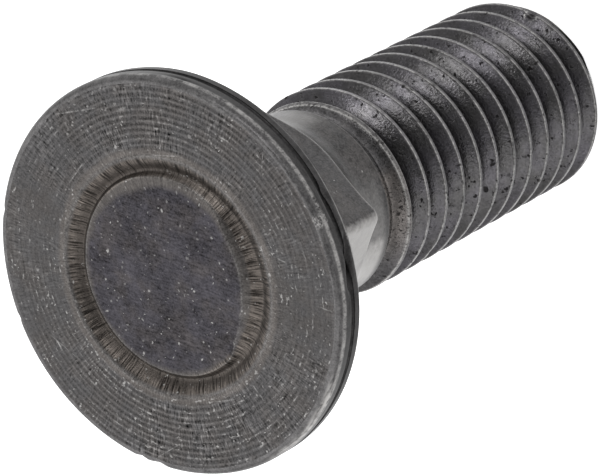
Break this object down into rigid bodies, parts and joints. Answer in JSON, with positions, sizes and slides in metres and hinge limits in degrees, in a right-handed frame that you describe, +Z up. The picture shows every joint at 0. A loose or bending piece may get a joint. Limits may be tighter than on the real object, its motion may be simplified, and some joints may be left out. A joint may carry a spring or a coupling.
{
  "type": "countersunk bolt",
  "caption": "Flat countersunk bolt with a short square neck and a coarse right-hand metric thread, in oiled black steel.",
  "frame": {"origin": "centre of the flat on the threaded end, on which the bolt stands", "axes": "+Z up the bolt's axis, out of the head's flat face; X and Y square to the flats of the square neck"},
  "size_m": [0.0188, 0.0188, 0.03],
  "materials": {
    "black_steel": "black oxide, oiled"
  },
  "bodies": {
    "root": {"bolt": "black_steel"}
  },
  "joints": []
}
